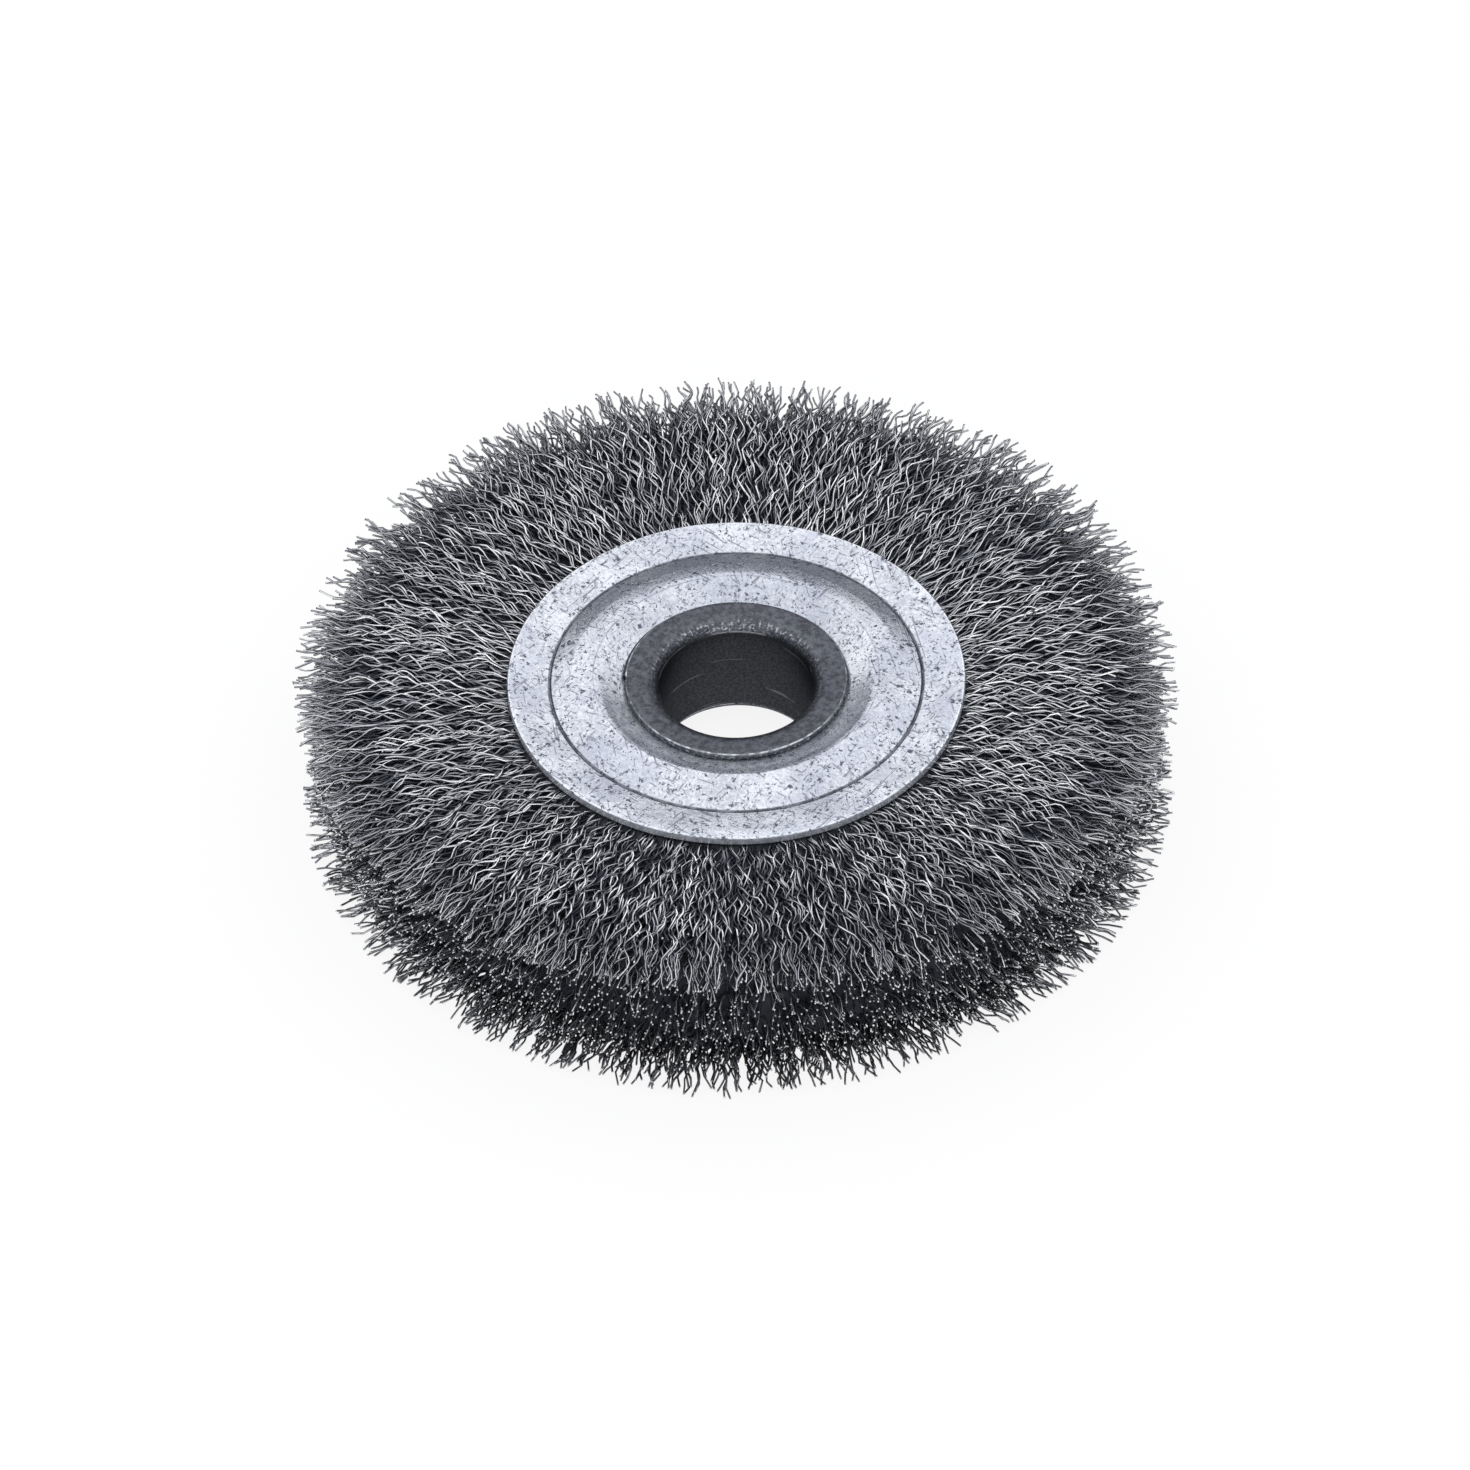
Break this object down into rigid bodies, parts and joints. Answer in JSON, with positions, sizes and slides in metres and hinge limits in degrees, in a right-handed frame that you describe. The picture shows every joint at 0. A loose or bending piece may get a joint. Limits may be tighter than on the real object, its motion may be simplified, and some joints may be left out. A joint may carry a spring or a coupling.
{
  "type": "wire wheel brush",
  "caption": "Crimped steel wire wheel brush: wires folded over a retaining ring, clamped by stamped face plates on a flared sleeve with an arbor bore.",
  "frame": {"origin": "centre of the arbor bore, half way through the wheel", "axes": "+Z along the bore, square to both face plates; +X and +Y across the wheel"},
  "size_m": [0.1247, 0.1247, 0.022],
  "materials": {
    "sleeve": "dark oxide over steel, worn bright on the lip's edge",
    "plate": "galvanised sheet, mottled and scratched",
    "ring": "plain drawn bar",
    "wire": "crimped spring steel wire, dark grey with bright crests"
  },
  "bodies": {
    "root": {"hub_sleeve": "sleeve", "upper_face_plate": "plate", "lower_face_plate": "plate", "retaining_ring": "ring", "wire_bundle_01": "wire", "wire_bundle_02": "wire", "wire_bundle_03": "wire", "wire_bundle_04": "wire", "wire_bundle_05": "wire", "wire_bundle_06": "wire", "wire_bundle_07": "wire", "wire_bundle_08": "wire", "wire_bundle_09": "wire", "wire_bundle_10": "wire", "wire_bundle_11": "wire", "wire_bundle_12": "wire", "wire_bundle_13": "wire", "wire_bundle_14": "wire", "wire_bundle_15": "wire", "wire_bundle_16": "wire", "wire_bundle_17": "wire", "wire_bundle_18": "wire", "wire_bundle_19": "wire", "wire_bundle_20": "wire", "wire_bundle_21": "wire", "wire_bundle_22": "wire", "wire_bundle_23": "wire", "wire_bundle_24": "wire"}
  },
  "joints": []
}
